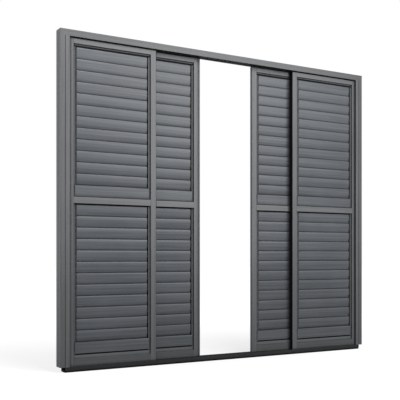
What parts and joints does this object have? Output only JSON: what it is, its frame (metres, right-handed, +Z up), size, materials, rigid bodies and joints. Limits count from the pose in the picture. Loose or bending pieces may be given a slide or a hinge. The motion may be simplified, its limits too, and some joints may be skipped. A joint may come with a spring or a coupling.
{
  "type": "louvred sliding shutter set",
  "caption": "Louvred aluminium sliding shutters: framed louvre panels that run on wheels along two tracks, inside a slim outer frame with a head track and a floor track.",
  "frame": {"origin": "on the floor, at the middle of the frame's width and depth", "axes": "+X along the tracks to the right as seen from the front, +Y to the back, +Z up"},
  "size_m": [2.766, 0.084, 2.4],
  "materials": {
    "painted_profile": "satin powder coat, anthracite",
    "painted_blade": "satin powder coat, anthracite",
    "guide_plastic": "moulded, matte",
    "wheel_plastic": "turned, matte",
    "bracket_steel": "zinc plated",
    "buffer_rubber": "matte"
  },
  "bodies": {
    "frame": {"head_casing": "painted_profile", "left_casing": "painted_profile", "right_casing": "painted_profile", "head_track": "painted_profile", "sill_track": "painted_profile", "left_jamb": "painted_profile", "right_jamb": "painted_profile", "buffers": "buffer_rubber"},
    "outer_left": {"outer_left_left_stile": "painted_profile", "outer_left_right_stile": "painted_profile", "outer_left_top_rail": "painted_profile", "outer_left_mid_rail": "painted_profile", "outer_left_bottom_rail": "painted_profile", "outer_left_louvres": "painted_blade", "outer_left_closing_slats": "painted_blade", "outer_left_pivot_strips": "painted_profile", "outer_left_beads": "painted_profile", "outer_left_carriages": "bracket_steel", "outer_left_top_guides": "guide_plastic"},
    "outer_left_left_wheel": {"outer_left_left_wheel": "wheel_plastic"},
    "outer_left_right_wheel": {"outer_left_right_wheel": "wheel_plastic"},
    "inner_left": {"inner_left_left_stile": "painted_profile", "inner_left_right_stile": "painted_profile", "inner_left_top_rail": "painted_profile", "inner_left_mid_rail": "painted_profile", "inner_left_bottom_rail": "painted_profile", "inner_left_louvres": "painted_blade", "inner_left_closing_slats": "painted_blade", "inner_left_pivot_strips": "painted_profile", "inner_left_beads": "painted_profile", "inner_left_carriages": "bracket_steel", "inner_left_top_guides": "guide_plastic"},
    "inner_left_left_wheel": {"inner_left_left_wheel": "wheel_plastic"},
    "inner_left_right_wheel": {"inner_left_right_wheel": "wheel_plastic"},
    "inner_right": {"inner_right_left_stile": "painted_profile", "inner_right_right_stile": "painted_profile", "inner_right_top_rail": "painted_profile", "inner_right_mid_rail": "painted_profile", "inner_right_bottom_rail": "painted_profile", "inner_right_louvres": "painted_blade", "inner_right_closing_slats": "painted_blade", "inner_right_pivot_strips": "painted_profile", "inner_right_beads": "painted_profile", "inner_right_carriages": "bracket_steel", "inner_right_top_guides": "guide_plastic"},
    "inner_right_left_wheel": {"inner_right_left_wheel": "wheel_plastic"},
    "inner_right_right_wheel": {"inner_right_right_wheel": "wheel_plastic"},
    "outer_right": {"outer_right_left_stile": "painted_profile", "outer_right_right_stile": "painted_profile", "outer_right_top_rail": "painted_profile", "outer_right_mid_rail": "painted_profile", "outer_right_bottom_rail": "painted_profile", "outer_right_louvres": "painted_blade", "outer_right_closing_slats": "painted_blade", "outer_right_pivot_strips": "painted_profile", "outer_right_beads": "painted_profile", "outer_right_carriages": "bracket_steel", "outer_right_top_guides": "guide_plastic"},
    "outer_right_left_wheel": {"outer_right_left_wheel": "wheel_plastic"},
    "outer_right_right_wheel": {"outer_right_right_wheel": "wheel_plastic"}
  },
  "joints": [
    {"name": "outer_left_slide", "type": "slide", "parent": "frame", "child": "outer_left", "axis": [1, 0, 0], "range_m": [-0.014, 0.6325]},
    {"name": "outer_left_left_wheel_spin", "type": "hinge", "parent": "outer_left", "child": "outer_left_left_wheel", "pos_m": [-1.19, -0.015, 0.0233], "axis": [0, 1, 0], "continuous": true},
    {"name": "outer_left_right_wheel_spin", "type": "hinge", "parent": "outer_left", "child": "outer_left_right_wheel", "pos_m": [-0.768, -0.015, 0.0233], "axis": [0, 1, 0], "continuous": true},
    {"name": "inner_left_slide", "type": "slide", "parent": "frame", "child": "inner_left", "axis": [1, 0, 0], "range_m": [-0.403, 0.2345]},
    {"name": "inner_left_left_wheel_spin", "type": "hinge", "parent": "inner_left", "child": "inner_left_left_wheel", "pos_m": [-0.801, 0.021, 0.0233], "axis": [0, 1, 0], "continuous": true},
    {"name": "inner_left_right_wheel_spin", "type": "hinge", "parent": "inner_left", "child": "inner_left_right_wheel", "pos_m": [-0.379, 0.021, 0.0233], "axis": [0, 1, 0], "continuous": true},
    {"name": "inner_right_slide", "type": "slide", "parent": "frame", "child": "inner_right", "axis": [1, 0, 0], "range_m": [-0.2515, 0.395]},
    {"name": "inner_right_left_wheel_spin", "type": "hinge", "parent": "inner_right", "child": "inner_right_left_wheel", "pos_m": [0.387, 0.021, 0.0233], "axis": [0, 1, 0], "continuous": true},
    {"name": "inner_right_right_wheel_spin", "type": "hinge", "parent": "inner_right", "child": "inner_right_right_wheel", "pos_m": [0.809, 0.021, 0.0233], "axis": [0, 1, 0], "continuous": true},
    {"name": "outer_right_slide", "type": "slide", "parent": "frame", "child": "outer_right", "axis": [1, 0, 0], "range_m": [-0.6325, 0.014]},
    {"name": "outer_right_left_wheel_spin", "type": "hinge", "parent": "outer_right", "child": "outer_right_left_wheel", "pos_m": [0.768, -0.015, 0.0233], "axis": [0, 1, 0], "continuous": true},
    {"name": "outer_right_right_wheel_spin", "type": "hinge", "parent": "outer_right", "child": "outer_right_right_wheel", "pos_m": [1.19, -0.015, 0.0233], "axis": [0, 1, 0], "continuous": true}
  ],
  "couplings": [
    {"joint": "outer_left_left_wheel_spin", "follows": "outer_left_slide", "rad_per_m": 90.909},
    {"joint": "outer_left_right_wheel_spin", "follows": "outer_left_slide", "rad_per_m": 90.909},
    {"joint": "inner_left_left_wheel_spin", "follows": "inner_left_slide", "rad_per_m": 90.909},
    {"joint": "inner_left_right_wheel_spin", "follows": "inner_left_slide", "rad_per_m": 90.909},
    {"joint": "inner_right_left_wheel_spin", "follows": "inner_right_slide", "rad_per_m": 90.909},
    {"joint": "inner_right_right_wheel_spin", "follows": "inner_right_slide", "rad_per_m": 90.909},
    {"joint": "outer_right_left_wheel_spin", "follows": "outer_right_slide", "rad_per_m": 90.909},
    {"joint": "outer_right_right_wheel_spin", "follows": "outer_right_slide", "rad_per_m": 90.909}
  ]
}
